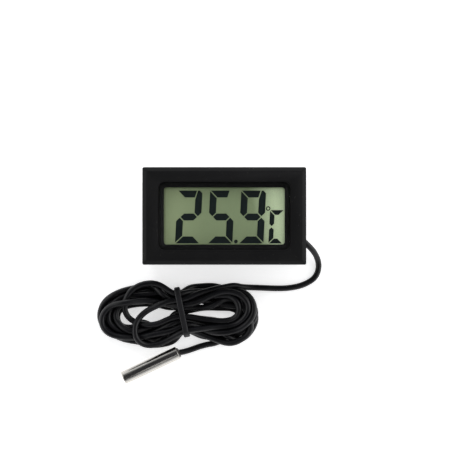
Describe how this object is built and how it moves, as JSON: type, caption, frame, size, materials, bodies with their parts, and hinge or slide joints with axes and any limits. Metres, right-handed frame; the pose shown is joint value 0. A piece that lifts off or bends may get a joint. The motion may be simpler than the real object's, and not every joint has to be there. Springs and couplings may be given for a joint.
{
  "type": "panel thermometer",
  "caption": "Small black digital panel thermometer with a segment display, spring panel clips, a sliding battery door and a steel sensor probe on a thin cable that is folded into a tied hank.",
  "frame": {"origin": "middle of the housing on the surface that its rear face lies on", "axes": "+X to the right as the display is read, +Y to the display's top edge, +Z the way the display faces"},
  "size_m": [0.0673, 0.0648, 0.0152],
  "materials": {
    "housing_black": "black moulded plastic with a fine grain",
    "window_clear": "clear acrylic, polished",
    "display_film": "grey green polarising film",
    "display_glass": "thin float glass",
    "elastomer": "striped elastomer connector",
    "board_laminate": "green solder mask",
    "black_resin": "cast epoxy",
    "ceramic": "fired ceramic with tinned ends",
    "plated_steel": "zinc plated",
    "nickel": "nickel plated spring strip",
    "cell_steel": "nickel plated cell can",
    "cable_jacket": "soft black PVC with a satin sheen",
    "red_insulation": "wire insulation",
    "tie_band": "black elastic band",
    "probe_steel": "polished stainless tube",
    "bead_glass": "glass sealed sensor bead"
  },
  "bodies": {
    "housing": {"front_housing": "housing_black", "rear_cover": "housing_black", "window_lens": "window_clear", "front_polariser": "display_film", "lcd_front_glass": "display_glass", "lcd_rear_glass": "display_glass", "rear_reflector": "display_film", "zebra_strip_upper": "elastomer", "zebra_strip_lower": "elastomer", "circuit_board": "board_laminate", "board_screw_1": "plated_steel", "board_screw_2": "plated_steel", "board_screw_3": "plated_steel", "board_screw_4": "plated_steel", "chip_blob": "black_resin", "crystal_can": "nickel", "chip_resistor_1": "ceramic", "chip_resistor_2": "ceramic", "chip_capacitor": "ceramic", "positive_contact": "nickel", "negative_contact": "nickel", "button_cell_left": "cell_steel", "button_cell_right": "cell_steel", "cable_inner_end": "cable_jacket", "cable_stop_collar": "nickel", "sensor_wire_1": "red_insulation", "sensor_wire_2": "cable_jacket", "cable_lead": "cable_jacket", "cable_hank": "cable_jacket", "cable_tail": "cable_jacket", "cable_tie": "tie_band", "probe_tube": "probe_steel", "probe_resin_plug": "black_resin", "thermistor_bead": "bead_glass"},
    "door": {"battery_door": "housing_black", "battery_link_plate": "nickel"},
    "left_clip": {"left_panel_clip": "housing_black"},
    "right_clip": {"right_panel_clip": "housing_black"}
  },
  "joints": [
    {"name": "battery_door_slide", "type": "slide", "parent": "housing", "child": "door", "axis": [0, 1, 0], "range_m": [0, 0.0145]},
    {"name": "left_clip_flex", "type": "hinge", "parent": "housing", "child": "left_clip", "pos_m": [-0.0225, 0, 0.0037], "axis": [0, 1, 0], "range_deg": [0, 11], "stiffness_Nm_per_rad": 0.2},
    {"name": "right_clip_flex", "type": "hinge", "parent": "housing", "child": "right_clip", "pos_m": [0.0225, 0, 0.0037], "axis": [0, -1, 0], "range_deg": [0, 11], "stiffness_Nm_per_rad": 0.2}
  ]
}
